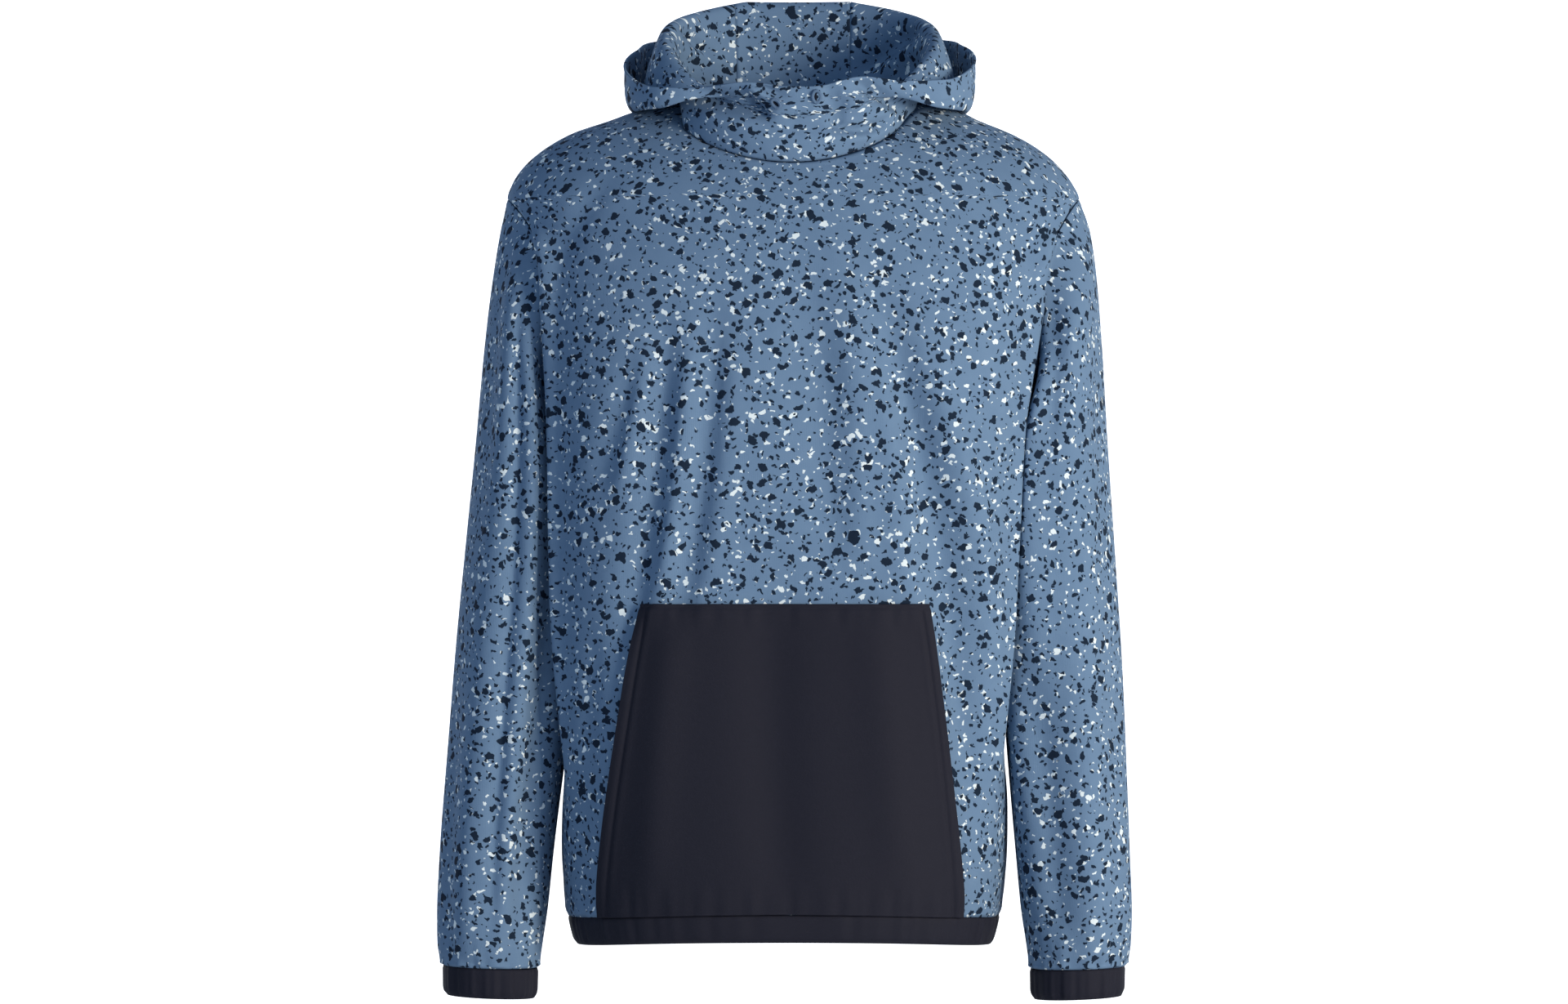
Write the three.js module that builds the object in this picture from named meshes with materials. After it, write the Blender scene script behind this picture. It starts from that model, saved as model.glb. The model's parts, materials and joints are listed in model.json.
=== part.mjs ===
// A pullover hoodie in its worn form, empty, with the arms hanging and the hood down.
// Millimetres, +Z up, the front faces -Y. The origin is the base of the neck, level with the shoulder line.
import * as THREE from 'three';

// Driving dimensions
const clothWall = 2;                 // knit body cloth
const wovenWall = 1.4;               // pocket, hem band and cuffs
const seamGap = 0.35;                // between two pieces that are sewn together
const neckSide = 8;                  // height of the neck seam at the shoulders
const neckFrontDrop = 53;            // how far the neck seam dips at the front
const neckBackDrop = 16;             // and at the back
const shoulderTip = -72;             // top of the armhole
const underarm = -236;               // bottom of the armhole
const armholeFront = 60;             // how far the armhole seam comes forward of the shoulder line
const armholeBack = 66;              // and how far it goes back
const hemTopSide = -675;             // seam between body and hem band, at the side seams
const hemTopFront = -668;
const hemBandDepth = 23;
const armMiddle = 4;                 // y of the line along which a hanging arm presses the side in
const armReach = 74;                 // how far to the front and the back it presses
const armForward = 12;               // the left arm hangs this much further forward
const cuffSeam = -722;
const cuffDepth = 27;
const pocketTop = -412;
const pocketTopHalf = 120;
const pocketBottomHalf = 151;
const pocketShift = -3.5;            // the pocket is sewn on a little off the middle
const pocketStandOff = wovenWall + 2; // from the front's face to the pocket's
const hoodStripAngle = 0.4 * Math.PI; // the back's angle where the hood's centre strip starts
const hoodAxisY = 5;                 // the vertical line on x = 0 that the hood leans away from
const hoodOval = { side: 103, front: 87, back: 56, power: 2.2 }; // round that line
const foldRadius = 7;                // of the hood's soft folds
const edgeLift = 6;                  // the opening's edge stands higher on the wearer's left

const table = (columns, rows) => rows.map((row) =>
  Object.fromEntries(columns.split(' ').map((name, i) => [name, row[i]])));

// Body: half width, depth to the front and the back of the shoulder line, squareness of the
// section, and how far the hanging arm presses the side in.
const bodySections = table('z half front back power pressed', [
  [   8, 101,  26,  40, 2.0,  0],
  [   7, 113,  28,  42, 2.0,  0],
  [   5, 126,  32,  45, 2.0,  0],
  [   2, 137,  36,  48, 2.0,  0],
  [  -5, 154,  46,  57, 2.0,  0],
  [ -17, 186,  60,  70, 2.0,  0],
  [ -31, 210,  75,  82, 2.0,  0],
  [ -45, 226,  87,  92, 2.0,  0],
  [ -59, 236,  96,  99, 2.05, 0],
  [ -72, 241, 103, 104, 2.1,  0],
  [ -88, 239, 110, 109, 2.15, 0],
  [-104, 233, 116, 113, 2.3,  0],
  [-125, 226, 123, 118, 2.5,  0],
  [-150, 219, 129, 122, 2.7,  0],
  [-190, 212, 136, 125, 2.9,  0],
  [-236, 207, 139, 125, 3.0,   5],
  [-254, 206, 140, 125, 3.0, 18],
  [-275, 205, 140, 124, 3.0, 26],
  [-310, 204, 140, 122, 3.0, 33],
  [-345, 203, 140, 120, 3.0, 35],
  [-400, 201, 139, 118, 3.0, 33],
  [-500, 197, 137, 117, 3.0, 20],
  [-585, 191, 135, 119, 2.9,  4],
  [-640, 186, 133, 121, 2.8,  0],
  [-676, 182, 131, 121, 2.7,  0],
  [-702, 177, 127, 118, 2.7,  0],
]);

// How far the whole garment leans to its right at a height.
const leanStations = table('z lean', [
  [  40,   1],
  [  10,   1],
  [  -5,  -3.5],
  [ -17,  -6.3],
  [ -45,  -6],
  [ -72,  -4.5],
  [-100,  -3],
  [-180,  -4.5],
  [-390,  -8],
  [-500,  -9.7],
  [-640, -12.2],
  [-750, -12.5],
]);

// Sleeve: the outer and the inner line as seen from the front, the section's middle and half depth.
const sleeveSections = table('outerX outerZ innerX innerZ midY halfDepth', [
  [242,  -72, 202, -236,   3, 63],
  [249,  -98, 197, -254,   4, 66],
  [255, -140, 187, -275,   5, 70],
  [261, -200, 177, -308,   7, 74],
  [267, -280, 172, -345,   8, 75],
  [274, -365, 173, -405,   6, 72],
  [281, -455, 180, -478,   0, 69],
  [286, -540, 187, -550,  -7, 65],
  [290, -615, 194, -618, -14, 60],
  [292, -670, 199, -670, -20, 55],
  [290, -700, 204, -700, -22, 49],
  [283, -722, 209, -722, -24, 40],
]);

// Hood: cloth from the neck seam, up the stand, over its fold, down into the groove and up to the edge.
// The turn is the way that the cloth leans out, from the front round to the back, and each reach is
// how far it has come from the neck seam. wave is how full the stand's fold is.
const hoodStations = table('turn standReach standZ grooveReach grooveZ edgeReach edgeZ wave', [
  [  0, 11,  -6,  14,    6, 16, 17, 0.00],
  [  8, 11,  -6,  14,    6, 16, 17, 0.00],
  [ 25, 11,   0,  14,   10, 17, 21, 0.10],
  [ 45, 11,  14,  21,    9, 23, 17, 0.35],
  [ 60, 12,  34,  38,    0, 40, 19, 0.75],
  [ 75, 13,  55,  43,   -1, 46, 31, 1.00],
  [ 90,  9,  70,  41,    0, 45, 43, 1.00],
  [110,  8,  80,  41,   -4, 43, 56, 1.00],
  [135, 15,  88,  74,  -38, 62, 67, 1.00],
  [158, 23,  95,  92,  -92, 74, 73, 1.00],
  [180, 30, 101,  96, -108, 80, 75, 1.00],
]);

// Main folds of the front and back: from one point to another over the panel, with their half width
// and height (a trough is negative).
const frontFolds = table('x1 z1 x2 z2 width height', [
  [ -98, -228, -138, -420, 20, -7],
  [ -70, -215,  -88, -390, 16, -4],
  [ -84, -240, -110, -400, 12,  4],
  [  34, -210,   36, -405, 18, -4],
  [  56, -235,   62, -390, 14,  4],
  [  98, -235,  140, -415, 18, -7],
  [-142, -230, -160, -300, 16, -4],
]);
const backFolds = table('x1 z1 x2 z2 width height', [
  [-120, -240,  -95, -470, 20, -6],
  [ 112, -235,  100, -500, 20, -6],
  [ -30, -420,  -40, -640, 22, -4],
  [  45, -380,   52, -620, 20,  4],
]);

const clamp = (v, lo, hi) => Math.min(hi, Math.max(lo, v));
const mix = (a, b, t) => a + (b - a) * t;
const smoothstep = (lo, hi, v) => {
  const t = clamp((v - lo) / (hi - lo), 0, 1);
  return t * t * (3 - 2 * t);
};

// A smooth value from a table's column: a cubic through its rows that never overshoots them.
function read(rows, key, column, at) {
  const rising = rows[1][key] > rows[0][key] ? 1 : -1;
  let i = 0;
  while (i < rows.length - 2 && (at - rows[i + 1][key]) * rising > 0) i += 1;
  const slopeAt = (j) => {
    if (j <= 0 || j >= rows.length - 1) return null;
    const before = (rows[j][column] - rows[j - 1][column]) / (rows[j][key] - rows[j - 1][key]);
    const after = (rows[j + 1][column] - rows[j][column]) / (rows[j + 1][key] - rows[j][key]);
    return before * after <= 0 ? 0 : 2 * before * after / (before + after);
  };
  const span = rows[i + 1][key] - rows[i][key];
  const chord = (rows[i + 1][column] - rows[i][column]) / span;
  const t = clamp((at - rows[i][key]) / span, 0, 1);
  const m0 = (slopeAt(i) ?? chord) * span;
  const m1 = (slopeAt(i + 1) ?? chord) * span;
  const t2 = t * t;
  const t3 = t2 * t;
  return (2 * t3 - 3 * t2 + 1) * rows[i][column] + (t3 - 2 * t2 + t) * m0
    + (3 * t2 - 2 * t3) * rows[i + 1][column] + (t3 - t2) * m1;
}

const leanX = (z) => read(leanStations, 'z', 'lean', z);

// How far the folds lift a point of the panel.
function foldLift(folds, x, z) {
  let lift = 0;
  for (const f of folds) {
    const dx = f.x2 - f.x1;
    const dz = f.z2 - f.z1;
    const along = ((x - f.x1) * dx + (z - f.z1) * dz) / (dx * dx + dz * dz);
    const across = ((x - f.x1) * dz - (z - f.z1) * dx) / Math.hypot(dx, dz);
    const ends = smoothstep(-0.35, 0.2, along) * (1 - smoothstep(0.8, 1.3, along));
    lift += f.height * ends * Math.exp(-((across / f.width) ** 2));
  }
  return lift;
}

// A point of the body: angle 0 is the left side seam, pi/2 the middle of the front, pi the right side
// seam and 3 pi/2 the middle of the back. out moves it outwards.
function bodyPoint(angle, z, out = 0) {
  const c = Math.cos(angle);
  const s = Math.sin(angle);
  const power = 2 / read(bodySections, 'z', 'power', z);
  const half = read(bodySections, 'z', 'half', z);
  const depth = read(bodySections, 'z', s > 0 ? 'front' : 'back', z);
  const across = Math.sign(c) * Math.abs(c) ** power;
  const y = -Math.sign(s) * depth * Math.abs(s) ** power;
  const reach = Math.min(1, Math.abs(y - armMiddle + (c > 0 ? armForward : 0)) / armReach);
  const pressed = read(bodySections, 'z', 'pressed', z) * (1 - reach ** 2.2);
  const x = across * half - Math.sign(c) * pressed;
  const faces = smoothstep(0.25, 0.75, Math.abs(s));
  const lift = faces * foldLift(s > 0 ? frontFolds : backFolds, x, z) + out;
  const normal = new THREE.Vector2(across / half, -Math.sign(s) * Math.abs(s) ** (2 - power) / depth);
  normal.normalize();
  return new THREE.Vector3(x + normal.x * lift + leanX(z), y + normal.y * lift, z);
}

const neckZ = (angle) => neckSide - (Math.sin(angle) > 0
  ? neckFrontDrop * Math.sin(angle) ** 6
  : neckBackDrop * Math.abs(Math.sin(angle)) ** 3);

const hemTopZ = (angle) => mix(hemTopSide, hemTopFront, Math.sin(angle) ** 2);

// The armhole seam's angle away from the side line at a height, for the front or the back panel.
function armholeAngle(z, reach, depthColumn) {
  const middle = (shoulderTip + underarm) / 2;
  const t = clamp((z - middle) / ((shoulderTip - underarm) / 2), -1, 1);
  const y = reach * Math.sqrt(1 - t * t);
  const depth = read(bodySections, 'z', depthColumn, z);
  return Math.asin((y / depth) ** (read(bodySections, 'z', 'power', z) / 2));
}

// The panel's edge: side seam, armhole and shoulder seam, as an angle and a height for 0 to 1.
const panelRows = { side: 10, armhole: 8, shoulder: 3 };
const rowsUp = panelRows.side + panelRows.armhole + panelRows.shoulder;
const edgeBreaks = { underarm: panelRows.side / rowsUp, tip: 1 - panelRows.shoulder / rowsUp };
function panelEdge(v, reach, depthColumn) {
  if (v < edgeBreaks.underarm) return { angle: 0, height: v / edgeBreaks.underarm };
  if (v < edgeBreaks.tip) {
    const t = (v - edgeBreaks.underarm) / (edgeBreaks.tip - edgeBreaks.underarm);
    const z = (shoulderTip + underarm) / 2 - (shoulderTip - underarm) / 2 * Math.cos(Math.PI * t);
    return { angle: armholeAngle(z, reach, depthColumn), z };
  }
  return { angle: 0, z: mix(shoulderTip, neckSide, (v - edgeBreaks.tip) / (1 - edgeBreaks.tip)) };
}

// Half the gap between front and back at their seams, as an angle.
function seamAngle(z, depthColumn) {
  const power = read(bodySections, 'z', 'power', z) / 2;
  return Math.asin((seamGap / 2 / read(bodySections, 'z', depthColumn, z)) ** power);
}

// A point of the front or back panel: u runs from the left edge to the right, v from the hem to the neck.
function panelPoint(facing, u, v, out = 0) {
  const front = facing === 'front';
  const edge = panelEdge(v, front ? armholeFront : armholeBack, facing);
  const from = Math.max(edge.angle, seamAngle(edge.z ?? underarm, facing));
  const turn = mix(from, Math.PI - from, u);
  const angle = front ? turn : -turn;
  let z;
  if (edge.z === undefined) z = mix(hemTopZ(angle), underarm, edge.height);
  else if (edge.z <= shoulderTip) z = edge.z;
  else z = edge.z - (neckSide - neckZ(angle)) * (edge.z - shoulderTip) / (neckSide - shoulderTip);
  return bodyPoint(angle, z, out);
}

// The armhole loop: around 0 is its top, pi/2 its front, pi the underarm.
function armholePoint(side, around) {
  const middle = (shoulderTip + underarm) / 2;
  const z = middle + (shoulderTip - underarm) / 2 * Math.cos(around);
  const front = Math.sin(around) > 0;
  const turn = armholeAngle(z, front ? armholeFront : armholeBack, front ? 'front' : 'back');
  const angle = side > 0 ? turn : Math.PI - turn;
  return bodyPoint(front ? angle : -angle, z);
}

// A ring of the sleeve at a row number of its table.
function sleeveRing(side, row, around) {
  const rows = sleeveSections.map((section, i) => ({ ...section, i }));
  const at = (column) => read(rows, 'i', column, row);
  const c = Math.cos(around);
  const s = Math.sin(around);
  const squared = Math.sign(s) * Math.abs(s) ** 0.9;
  const z = mix(at('innerZ'), at('outerZ'), (1 + c) / 2);
  const x = mix(at('innerX'), at('outerX'), (1 + c) / 2);
  const middle = at('midY') - (side > 0 ? armForward * smoothstep(0, 2.5, row) : 0);
  return new THREE.Vector3(side * x + leanX(z), middle - at('halfDepth') * squared, z);
}

// The sleeve leaves the armhole exactly and settles into its own rings over the first rows.
function sleevePoint(side, around, t) {
  const last = sleeveSections.length - 1;
  const point = sleeveRing(side, t * last, around);
  const settle = 1 - smoothstep(0, 2.2, t * last);
  const start = armholePoint(side, around).sub(sleeveRing(side, 0, around));
  start.x += side * seamGap;
  start.z -= seamGap * Math.abs(Math.cos(around));
  return point.addScaledVector(start, settle);
}

const cuffPoint = (side, around, t) => {
  const edge = sleevePoint(side, around, 1);
  const middle = sleevePoint(side, 0, 1).add(sleevePoint(side, Math.PI, 1)).multiplyScalar(0.5);
  const taper = 0.985 - 0.03 * t;
  edge.sub(middle).multiplyScalar(taper).add(middle);
  edge.z = cuffSeam - seamGap - cuffDepth * t;
  return edge;
};

function hemBandPoint(angle, t) {
  const z = hemTopZ(angle) - seamGap - hemBandDepth * t;
  return bodyPoint(angle, z, -0.4 - 1.2 * t * t);
}

// A panel that lies on the front: its corners are given on the front's own surface.
function pocketPoint(u, v) {
  const z = mix(hemTopFront + 0.6, pocketTop, v);
  const spread = mix(pocketBottomHalf, pocketTopHalf, v ** 1.35);
  const x = mix(spread, -spread, u) + pocketShift;
  const share = x / read(bodySections, 'z', 'half', z);
  const power = read(bodySections, 'z', 'power', z) / 2;
  const angle = Math.acos(Math.sign(share) * Math.abs(share) ** power);
  return bodyPoint(angle, z, pocketStandOff);
}

// A smooth curve drawn by a list of [reach, z], evenly in t, from the first to the last.
function through(route, t) {
  const last = route.length - 1;
  const at = Math.min(Math.floor(t * last), last - 1);
  const f = t * last - at;
  const beyond = (end, next) => end.map((value, i) => 2 * value - next[i]);
  const a = route[at - 1] ?? beyond(route[0], route[1]);
  const d = route[at + 2] ?? beyond(route[last], route[last - 1]);
  return [0, 1].map((i) => ((1 - f) ** 3 * a[i] + (3 * f ** 3 - 6 * f ** 2 + 4) * route[at][i]
    + (1 + 3 * f + 3 * f ** 2 - 3 * f ** 3) * route[at + 1][i] + f ** 3 * d[i]) / 6);
}

// The way the hood's cloth leans out at an angle of the neck seam: the seam's own heading round the
// front, opening to straight back where the centre strip starts. Its reach is measured from an oval.
function hoodBase(seam) {
  const strip = bodyPoint(-hoodStripAngle, neckZ(-hoodStripAngle));
  const stripHeading = Math.atan2(strip.x, hoodAxisY - strip.y);
  const heading = Math.min(stripHeading, Math.atan2(Math.abs(seam.x), hoodAxisY - seam.y));
  const quarter = Math.PI / 2;
  const past = Math.max(0, heading - quarter) / (stripHeading - quarter);
  const turn = Math.min(heading, quarter) + quarter * past;
  const c = Math.cos(heading);
  const radius = ((Math.sin(heading) / hoodOval.side) ** hoodOval.power
    + (Math.abs(c) / (c > 0 ? hoodOval.front : hoodOval.back)) ** hoodOval.power) ** (-1 / hoodOval.power);
  const oval = new THREE.Vector3(
    leanX(10) + Math.sign(seam.x) * radius * Math.sin(heading), hoodAxisY - radius * c, seam.z,
  );
  return { turn, foot: oval.lerp(seam, smoothstep(150, 180, turn * 180 / Math.PI)) };
}

// A point of the hood: angle is the body's own, t runs from the neck seam to the opening's edge.
function hoodPoint(angle, t, shift = 0) {
  const seam = bodyPoint(angle, neckZ(angle));
  const { turn, foot } = hoodBase(seam);
  const degrees = turn * 180 / Math.PI;
  const at = (column) => read(hoodStations, 'turn', column, degrees);
  const [standReach, standZ] = [at('standReach'), at('standZ')];
  const [grooveReach, grooveZ] = [at('grooveReach'), at('grooveZ')];
  const round = foldRadius * at('wave');
  const raised = edgeLift * smoothstep(5, 40, degrees) * (1 - smoothstep(80, 160, degrees));
  const edgeZ = at('edgeZ') + (seam.x > 0 ? raised : 0);
  const start = seam.z + seamGap;
  const [reach, z] = through([
    [0, start],
    [0.5 * (standReach - round) + 5 * (1 - at('wave')), mix(start, standZ, 0.4)],
    [standReach - round, standZ - 2 * round],
    [standReach - 0.6 * round, standZ - 0.4 * round],
    [standReach + 0.3 * round, standZ],
    [standReach + round, standZ - round],
    [mix(standReach + round, grooveReach - 1.6 * round, 0.6), mix(standZ, grooveZ + round, 0.5)],
    [grooveReach - 1.6 * round, grooveZ + round],
    [grooveReach - 0.7 * round, grooveZ],
    [grooveReach + 0.2 * round, grooveZ + 0.5 * round],
    [mix(grooveReach, at('edgeReach'), 0.5) + 0.4 * round, mix(grooveZ, edgeZ, 0.5)],
    [at('edgeReach'), edgeZ],
  ], t);
  const p = seam.clone().lerp(foot, smoothstep(0, 0.2, t));
  return new THREE.Vector3(
    p.x + Math.sign(seam.x) * Math.sin(turn) * reach + shift,
    p.y - Math.cos(turn) * reach,
    z,
  );
}

// A closed wall: the outer face from point(u, v), the inner face a thickness behind it. A looped wall
// closes on itself along u; otherwise its two ends are closed like its top and bottom, and flush names
// the axis across the seam that those ends share with the next panel.
function wall(point, across, up, thickness, { looped = false, flush = null } = {}) {
  const columns = looped ? across : across + 1;
  const outer = [];
  for (let j = 0; j <= up; j += 1) {
    for (let i = 0; i < columns; i += 1) outer.push(point(i / across, j / up));
  }
  const index = (i, j) => j * columns + (looped ? (i + columns) % columns : clamp(i, 0, across));
  const inner = outer.map((p, k) => {
    const i = k % columns;
    const j = Math.floor(k / columns);
    const alongU = outer[index(i + 1, j)].clone().sub(outer[index(i - 1, j)]);
    const alongV = outer[index(i, Math.min(j + 1, up))].clone().sub(outer[index(i, Math.max(j - 1, 0))]);
    const normal = alongU.cross(alongV);
    if (flush && (i === 0 || i === across)) normal[flush] = 0;
    return p.clone().addScaledVector(normal.normalize(), -thickness);
  });
  const vertices = [...outer, ...inner].flatMap((p) => [p.x, p.y, p.z]);
  const back = outer.length;
  const faces = [];
  const quad = (a, b, c, d) => faces.push(a, b, c, a, c, d);
  const cells = across;
  for (let j = 0; j < up; j += 1) {
    for (let i = 0; i < cells; i += 1) {
      const [a, b, c, d] = [index(i, j), index(i + 1, j), index(i + 1, j + 1), index(i, j + 1)];
      quad(a, b, c, d);
      quad(back + d, back + c, back + b, back + a);
    }
    if (!looped) {
      quad(index(across, j), back + index(across, j), back + index(across, j + 1), index(across, j + 1));
      quad(index(0, j + 1), back + index(0, j + 1), back + index(0, j), index(0, j));
    }
  }
  for (let i = 0; i < cells; i += 1) {
    quad(index(i + 1, 0), index(i, 0), back + index(i, 0), back + index(i + 1, 0));
    quad(index(i, up), index(i + 1, up), back + index(i + 1, up), back + index(i, up));
  }
  const geometry = new THREE.BufferGeometry();
  geometry.setAttribute('position', new THREE.Float32BufferAttribute(vertices, 3));
  geometry.setIndex(faces);
  return geometry;
}

const finishes = {
  knit: { color: 0x67829e, roughness: 0.85, metalness: 0 },
  woven: { color: 0x24262f, roughness: 0.6, metalness: 0 },
};

const hoodie = new THREE.Group();
function add(name, geometry, finish) {
  const mesh = new THREE.Mesh(geometry, new THREE.MeshStandardMaterial(finishes[finish]));
  mesh.name = name;
  hoodie.add(mesh);
}

add('front', wall((u, v) => panelPoint('front', 1 - u, v), 24, rowsUp, clothWall, { flush: 'y' }), 'knit');
add('back', wall((u, v) => panelPoint('back', u, v), 20, rowsUp, clothWall, { flush: 'y' }), 'knit');
for (const [name, side] of [['left', 1], ['right', -1]]) {
  const around = (u) => -side * 2 * Math.PI * u;
  const sleeve = (u, v) => sleevePoint(side, around(u), 1 - v);
  const cuff = (u, v) => cuffPoint(side, around(u), 1 - v);
  add(`sleeve_${name}`, wall(sleeve, 16, 16, clothWall, { looped: true }), 'knit');
  add(`cuff_${name}`, wall(cuff, 16, 2, wovenWall, { looped: true }), 'woven');
}
const band = (u, v) => hemBandPoint(-2 * Math.PI * u, 1 - v);
add('hem_band', wall(band, 40, 2, wovenWall, { looped: true }), 'woven');
add('hood_sides', wall((u, v) => {
  const angle = mix(Math.PI + hoodStripAngle, -hoodStripAngle, u);
  return hoodPoint(angle, v, (u < 0.5 ? -1 : 1) * (u === 0 || u === 1 ? seamGap / 2 : 0));
}, 40, 12, clothWall, { flush: 'x' }), 'knit');
add('hood_centre', wall((u, v) => {
  const angle = mix(-hoodStripAngle, hoodStripAngle - Math.PI, u);
  return hoodPoint(angle, v, u === 0 ? -seamGap / 2 : u === 1 ? seamGap / 2 : 0);
}, 4, 12, clothWall, { flush: 'x' }), 'knit');
add('pocket', wall((u, v) => pocketPoint(1 - u, v), 14, 9, wovenWall), 'woven');

export default hoodie;
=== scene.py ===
import json
import math
import bmesh
import bpy
import numpy as np
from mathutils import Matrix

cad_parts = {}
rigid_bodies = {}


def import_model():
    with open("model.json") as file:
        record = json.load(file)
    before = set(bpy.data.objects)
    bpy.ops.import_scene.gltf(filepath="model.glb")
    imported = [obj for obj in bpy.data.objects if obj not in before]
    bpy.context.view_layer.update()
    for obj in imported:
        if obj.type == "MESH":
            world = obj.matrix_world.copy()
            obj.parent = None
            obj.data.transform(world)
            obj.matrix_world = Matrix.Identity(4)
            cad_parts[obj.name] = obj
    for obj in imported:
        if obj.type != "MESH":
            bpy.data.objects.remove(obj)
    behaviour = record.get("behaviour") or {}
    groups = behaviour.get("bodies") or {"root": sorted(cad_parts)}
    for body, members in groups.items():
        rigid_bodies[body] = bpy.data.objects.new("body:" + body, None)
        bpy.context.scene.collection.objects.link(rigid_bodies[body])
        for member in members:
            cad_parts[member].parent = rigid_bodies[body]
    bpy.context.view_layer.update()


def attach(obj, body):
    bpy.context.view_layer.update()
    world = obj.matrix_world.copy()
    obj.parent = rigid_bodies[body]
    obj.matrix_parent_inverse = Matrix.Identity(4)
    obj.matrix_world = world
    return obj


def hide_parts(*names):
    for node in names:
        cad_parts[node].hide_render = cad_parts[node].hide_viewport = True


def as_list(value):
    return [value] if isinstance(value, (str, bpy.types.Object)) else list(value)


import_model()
mm = 0.001  # the garment's tables and sizes are in millimetres, and go through this on their way to a mesh
print("frame loaded")


class Table:
    # rows with named columns, read as smooth curves that never overshoot their rows
    def __init__(self, names, rows):
        self.columns = dict(zip(names.split(), np.array(rows, float).T))
        self.curves = {}

    def curve(self, key, name):
        if (key, name) not in self.curves:
            order = np.argsort(self.columns[key])
            x, y = self.columns[key][order], self.columns[name][order]
            chord = np.diff(y) / np.diff(x)
            same = chord[:-1] * chord[1:] > 0
            both = np.where(same, chord[:-1] + chord[1:], 1)
            inner = np.where(same, 2 * chord[:-1] * chord[1:] / both, 0)
            slope = np.concatenate([chord[:1], inner, chord[-1:]])
            t = np.linspace(0, 1, 33)[:-1]
            h = np.diff(x)[:, None]
            fine = ((2 * t**3 - 3 * t**2 + 1) * y[:-1, None] + (t**3 - 2 * t**2 + t) * h * slope[:-1, None]
                    + (3 * t**2 - 2 * t**3) * y[1:, None] + (t**3 - t**2) * h * slope[1:, None])
            places = np.append((x[:-1, None] + h * t).ravel(), x[-1])
            self.curves[key, name] = (places, np.append(fine.ravel(), y[-1]))
        return self.curves[key, name]

    def read(self, key, name, at):
        return np.interp(at, *self.curve(key, name))


def smooth(low, high, value):
    t = np.clip((value - low) / (high - low), 0, 1)
    return t * t * (3 - 2 * t)


def blend(a, b, t):
    return a + (b - a) * t


def stack(x, y, z):
    return np.stack(np.broadcast_arrays(x, y, z), axis=-1)


garment = {
    "wall": 2.0, "wovenWall": 1.4, "seamGap": 0.35,
    "neckSide": 8, "neckFrontDrop": 53, "neckBackDrop": 16,
    "shoulderTip": -72, "underarm": -236, "armholeFront": 60, "armholeBack": 66,
    "hemTopSide": -675, "hemTopFront": -668, "hemBandDepth": 23,
    "armMiddle": 4, "armReach": 74, "armForward": 12, "pressPower": 2.2,
}
armholeMiddle = (garment["shoulderTip"] + garment["underarm"]) / 2
armholeHalf = (garment["shoulderTip"] - garment["underarm"]) / 2

bodySections = Table("z half front back power pressed", [
    [8, 101, 26, 40, 2.0, 0],
    [7, 113, 28, 42, 2.0, 0],
    [5, 126, 32, 45, 2.0, 0],
    [2, 137, 36, 48, 2.0, 0],
    [-5, 154, 46, 57, 2.0, 0],
    [-17, 186, 60, 70, 2.0, 0],
    [-31, 210, 75, 82, 2.0, 0],
    [-45, 226, 87, 92, 2.0, 0],
    [-59, 236, 96, 99, 2.05, 0],
    [-72, 241, 103, 104, 2.1, 0],
    [-88, 239, 110, 109, 2.15, 0],
    [-104, 233, 116, 113, 2.3, 0],
    [-125, 226, 123, 118, 2.5, 0],
    [-150, 219, 129, 122, 2.7, 0],
    [-190, 212, 136, 125, 2.9, 0],
    [-236, 207, 139, 125, 3.0, 5],
    [-254, 206, 140, 125, 3.0, 18],
    [-275, 205, 140, 124, 3.0, 26],
    [-310, 204, 140, 122, 3.0, 33],
    [-345, 203, 140, 120, 3.0, 35],
    [-400, 201, 139, 118, 3.0, 33],
    [-500, 197, 137, 117, 3.0, 20],
    [-585, 191, 135, 119, 2.9, 4],
    [-640, 186, 133, 121, 2.8, 0],
    [-676, 182, 131, 121, 2.7, 0],
    [-702, 177, 127, 118, 2.7, 0],
])

leanStations = Table("z lean", [
    [40, 1],
    [10, 1],
    [-5, -3.5],
    [-17, -6.3],
    [-45, -6],
    [-72, -4.5],
    [-100, -3],
    [-180, -4.5],
    [-390, -8],
    [-500, -9.7],
    [-640, -12.2],
    [-750, -12.5],
])

# folds run from one point to another over a panel, bowed in the middle; a trough's height is negative
frontFolds = [
    # x1, z1, x2, z2, width, height, bow
    (-108, -214, -130, -415, 13, -8.5, -4),
    (-66, -206, -87, -400, 12.5, -7, -3),
    (-87, -223, -106, -400, 8, 4, -3),
    (-51, -210, -67, -388, 12, 3, -3),
    (-135, -227, -158, -311, 12, -4, 0),
    (-121, -210, -141, -311, 8, 3, 0),
    (9, -151, 37, -360, 21, -6, -3),
    (48, -193, 55, -360, 14, 4, 0),
    (87, -206, 152, -540, 17, -13.5, -9),
    (74, -218, 94, -388, 13, 3, -3),
    (114, -231, 178, -455, 14, 5, -8),
    (165, -70, 200, -140, 9, -5, -3),
    (-160, -66, -200, -130, 10, -3, 3),
    (-164, -470, -172, -640, 9, -4, 0),
    (-14, -415, 0, -650, 24, -5, 4),
]
backFolds = [
    (-112, -215, -130, -420, 11, -6.5, 4),
    (-80, -230, -94, -440, 9, -4.5, 2),
    (-96, -225, -110, -430, 9, 3, 3),
    (92, -215, 116, -470, 11, -6.5, -5),
    (60, -240, 68, -430, 12, 3, 0),
    (-20, -150, -32, -390, 18, -4, 3),
    (12, -200, 15, -520, 16, 3, 0),
    (-34, -520, -46, -665, 18, -3.5, 0),
    (48, -500, 62, -665, 16, 3, 2),
    (155, -74, 190, -145, 10, -4, -3),
]
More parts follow.
